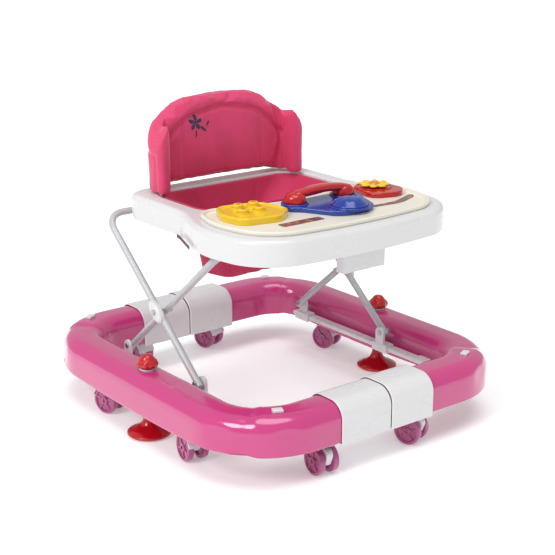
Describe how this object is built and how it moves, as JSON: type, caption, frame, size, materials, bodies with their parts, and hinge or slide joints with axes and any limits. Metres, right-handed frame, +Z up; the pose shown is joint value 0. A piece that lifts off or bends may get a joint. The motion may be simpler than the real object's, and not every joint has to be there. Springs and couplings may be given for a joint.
{
  "type": "baby walker",
  "caption": "Baby walker: ring base on swivel casters with floor stoppers, crossed folding tube frames, and a seat table with padded back, sling seat and toy tray.",
  "frame": {"origin": "centre of the footprint, on the floor under the casters", "axes": "+Z up; the child faces -Y, so -Y is the front; +X is the child's left"},
  "size_m": [0.626, 0.6964, 0.5756],
  "materials": {
    "pink_gloss": "glossy",
    "white_gloss": "glossy",
    "cream_tray": "satin",
    "white_tube": "powder coat, semi gloss",
    "steel": "bright zinc",
    "red_gloss": "glossy",
    "yellow_gloss": "glossy",
    "blue_gloss": "glossy",
    "wheel_pink": "glossy",
    "hood_white": "glossy",
    "crimson_fabric": "woven, padded",
    "maroon_webbing": "woven webbing"
  },
  "bodies": {
    "base": {"base_half_left": "pink_gloss", "base_half_right": "pink_gloss", "front_sleeve": "white_gloss", "front_collar": "white_gloss", "rear_sleeve": "white_gloss", "rear_collar": "white_gloss", "corner_caps": "white_gloss", "base_screws": "steel", "rail_left": "white_gloss", "rail_right": "white_gloss", "rear_bracket_left": "white_gloss", "rear_bracket_right": "white_gloss", "rear_pivot_pins": "steel", "stopper_bushes": "white_gloss"},
    "frame_b": {"tube_frame_b": "white_tube"},
    "frame_a": {"tube_frame_a": "white_tube", "hub_cover_left": "white_gloss", "hub_cover_right": "white_gloss", "hub_pins": "steel"},
    "front_shoes": {"front_shoe_left": "white_gloss", "front_shoe_right": "white_gloss", "shoe_pins": "steel"},
    "table": {"table_shell": "white_gloss", "rear_clips": "white_gloss", "height_racks": "white_gloss", "toy_tray": "cream_tray", "keypad_plate": "yellow_gloss", "phone_cradle": "blue_gloss", "flower_plate": "red_gloss", "backrest_pad": "crimson_fabric", "seat_sling": "crimson_fabric", "seat_straps": "maroon_webbing"},
    "adjuster": {"height_adjuster": "white_gloss"},
    "stopper_left": {"stopper_foot_left": "red_gloss"},
    "stopper_right": {"stopper_foot_right": "red_gloss"},
    "stopper_knob_left": {"stopper_knob_left": "red_gloss"},
    "stopper_knob_right": {"stopper_knob_right": "red_gloss"},
    "handset": {"handset": "red_gloss"},
    "dial": {"dial": "blue_gloss"},
    "flower": {"flower": "yellow_gloss"},
    "key_1": {"keypad_key_1": "yellow_gloss"},
    "key_2": {"keypad_key_2": "yellow_gloss"},
    "key_3": {"keypad_key_3": "yellow_gloss"},
    "key_4": {"keypad_key_4": "yellow_gloss"},
    "caster_left_side_front": {"caster_fork_left_side_front": "hood_white"},
    "wheels_left_side_front": {"caster_wheels_left_side_front": "wheel_pink"},
    "caster_left_side_rear": {"caster_fork_left_side_rear": "hood_white"},
    "wheels_left_side_rear": {"caster_wheels_left_side_rear": "wheel_pink"},
    "caster_right_side_front": {"caster_fork_right_side_front": "hood_white"},
    "wheels_right_side_front": {"caster_wheels_right_side_front": "wheel_pink"},
    "caster_right_side_rear": {"caster_fork_right_side_rear": "hood_white"},
    "wheels_right_side_rear": {"caster_wheels_right_side_rear": "wheel_pink"},
    "caster_front_left": {"caster_fork_front_left": "hood_white"},
    "wheels_front_left": {"caster_wheels_front_left": "wheel_pink"},
    "caster_front_right": {"caster_fork_front_right": "hood_white"},
    "wheels_front_right": {"caster_wheels_front_right": "wheel_pink"},
    "caster_rear_left": {"caster_fork_rear_left": "hood_white"},
    "wheels_rear_left": {"caster_wheels_rear_left": "wheel_pink"},
    "caster_rear_right": {"caster_fork_rear_right": "hood_white"},
    "wheels_rear_right": {"caster_wheels_rear_right": "wheel_pink"}
  },
  "joints": [
    {"name": "fold", "type": "hinge", "parent": "base", "child": "frame_b", "pos_m": [0, 0.1615, 0.10773], "axis": [1, 0, 0], "range_deg": [-6, 27]},
    {"name": "scissor", "type": "hinge", "parent": "frame_b", "child": "frame_a", "pos_m": [0, 0.042, 0.208], "axis": [1, 0, 0], "range_deg": [-54.5, 12.5]},
    {"name": "table_level", "type": "hinge", "parent": "frame_a", "child": "table", "pos_m": [0, 0.21359, 0.35198], "axis": [1, 0, 0], "range_deg": [-6.5, 27.5]},
    {"name": "shoe_level", "type": "hinge", "parent": "frame_a", "child": "front_shoes", "pos_m": [0, -0.0775, 0.10773], "axis": [1, 0, 0], "range_deg": [-6.5, 27.5]},
    {"name": "adjuster_pull", "type": "slide", "parent": "table", "child": "adjuster", "axis": [0, -1, 0], "range_m": [0, 0.008], "stiffness_N_per_m": 250, "springref_m": -0.004},
    {"name": "stopper_drop_left", "type": "slide", "parent": "base", "child": "stopper_left", "axis": [0, 0, 1], "range_m": [-0.002, 0.016]},
    {"name": "stopper_turn_left", "type": "hinge", "parent": "stopper_left", "child": "stopper_knob_left", "pos_m": [0.273, 0, 0.134], "axis": [0, 0, 1], "range_deg": [0, 90]},
    {"name": "stopper_drop_right", "type": "slide", "parent": "base", "child": "stopper_right", "axis": [0, 0, 1], "range_m": [-0.002, 0.016]},
    {"name": "stopper_turn_right", "type": "hinge", "parent": "stopper_right", "child": "stopper_knob_right", "pos_m": [-0.273, 0, 0.134], "axis": [0, 0, 1], "range_deg": [0, 90]},
    {"name": "key_1_press", "type": "slide", "parent": "table", "child": "key_1", "axis": [0, 0, -1], "range_m": [0, 0.003], "stiffness_N_per_m": 150},
    {"name": "key_2_press", "type": "slide", "parent": "table", "child": "key_2", "axis": [0, 0, -1], "range_m": [0, 0.003], "stiffness_N_per_m": 150},
    {"name": "key_3_press", "type": "slide", "parent": "table", "child": "key_3", "axis": [0, 0, -1], "range_m": [0, 0.003], "stiffness_N_per_m": 150},
    {"name": "key_4_press", "type": "slide", "parent": "table", "child": "key_4", "axis": [0, 0, -1], "range_m": [0, 0.003], "stiffness_N_per_m": 150},
    {"name": "handset_lift", "type": "slide", "parent": "table", "child": "handset", "axis": [0, 0, 1], "range_m": [0, 0.12]},
    {"name": "dial_spin", "type": "hinge", "parent": "table", "child": "dial", "pos_m": [0.028, -0.188, 0.41298], "axis": [0, 0, 1], "continuous": true},
    {"name": "flower_spin", "type": "hinge", "parent": "table", "child": "flower", "pos_m": [0.16, -0.104, 0.41298], "axis": [0, 0, 1], "continuous": true},
    {"name": "swivel_left_side_front", "type": "hinge", "parent": "base", "child": "caster_left_side_front", "pos_m": [0.273, -0.144, 0.06], "axis": [0, 0, 1], "continuous": true},
    {"name": "roll_left_side_front", "type": "hinge", "parent": "caster_left_side_front", "child": "wheels_left_side_front", "pos_m": [0.27474, -0.15385, 0.025], "axis": [0.9848, 0.1736, 0], "continuous": true},
    {"name": "swivel_left_side_rear", "type": "hinge", "parent": "base", "child": "caster_left_side_rear", "pos_m": [0.273, 0.144, 0.06], "axis": [0, 0, 1], "continuous": true},
    {"name": "roll_left_side_rear", "type": "hinge", "parent": "caster_left_side_rear", "child": "wheels_left_side_rear", "pos_m": [0.27008, 0.15356, 0.025], "axis": [-0.9563, -0.2924, 0], "continuous": true},
    {"name": "swivel_right_side_front", "type": "hinge", "parent": "base", "child": "caster_right_side_front", "pos_m": [-0.273, -0.144, 0.06], "axis": [0, 0, 1], "continuous": true},
    {"name": "roll_right_side_front", "type": "hinge", "parent": "caster_right_side_front", "child": "wheels_right_side_front", "pos_m": [-0.27161, -0.1341, 0.025], "axis": [-0.9903, 0.1392, 0], "continuous": true},
    {"name": "swivel_right_side_rear", "type": "hinge", "parent": "base", "child": "caster_right_side_rear", "pos_m": [-0.273, 0.144, 0.06], "axis": [0, 0, 1], "continuous": true},
    {"name": "roll_right_side_rear", "type": "hinge", "parent": "caster_right_side_rear", "child": "wheels_right_side_rear", "pos_m": [-0.27008, 0.13444, 0.025], "axis": [0.9563, 0.2924, 0], "continuous": true},
    {"name": "swivel_front_left", "type": "hinge", "parent": "base", "child": "caster_front_left", "pos_m": [0.07, -0.301, 0.06], "axis": [0, 0, 1], "continuous": true},
    {"name": "roll_front_left", "type": "hinge", "parent": "caster_front_left", "child": "wheels_front_left", "pos_m": [0.07342, -0.3104, 0.025], "axis": [0.9397, 0.342, 0], "continuous": true},
    {"name": "swivel_front_right", "type": "hinge", "parent": "base", "child": "caster_front_right", "pos_m": [-0.132, -0.301, 0.06], "axis": [0, 0, 1], "continuous": true},
    {"name": "roll_front_right", "type": "hinge", "parent": "caster_front_right", "child": "wheels_front_right", "pos_m": [-0.1327, -0.31098, 0.025], "axis": [0.9976, -0.0698, 0], "continuous": true},
    {"name": "swivel_rear_left", "type": "hinge", "parent": "base", "child": "caster_rear_left", "pos_m": [0.078, 0.301, 0.06], "axis": [0, 0, 1], "continuous": true},
    {"name": "roll_rear_left", "type": "hinge", "parent": "caster_rear_left", "child": "wheels_rear_left", "pos_m": [0.07508, 0.31056, 0.025], "axis": [-0.9563, -0.2924, 0], "continuous": true},
    {"name": "swivel_rear_right", "type": "hinge", "parent": "base", "child": "caster_rear_right", "pos_m": [-0.098, 0.301, 0.06], "axis": [0, 0, 1], "continuous": true},
    {"name": "roll_rear_right", "type": "hinge", "parent": "caster_rear_right", "child": "wheels_rear_right", "pos_m": [-0.09974, 0.31085, 0.025], "axis": [-0.9848, -0.1736, 0], "continuous": true}
  ],
  "couplings": [
    {"joint": "scissor", "follows": "fold", "ratio": -2},
    {"joint": "table_level", "follows": "fold", "ratio": 1},
    {"joint": "shoe_level", "follows": "fold", "ratio": 1}
  ]
}
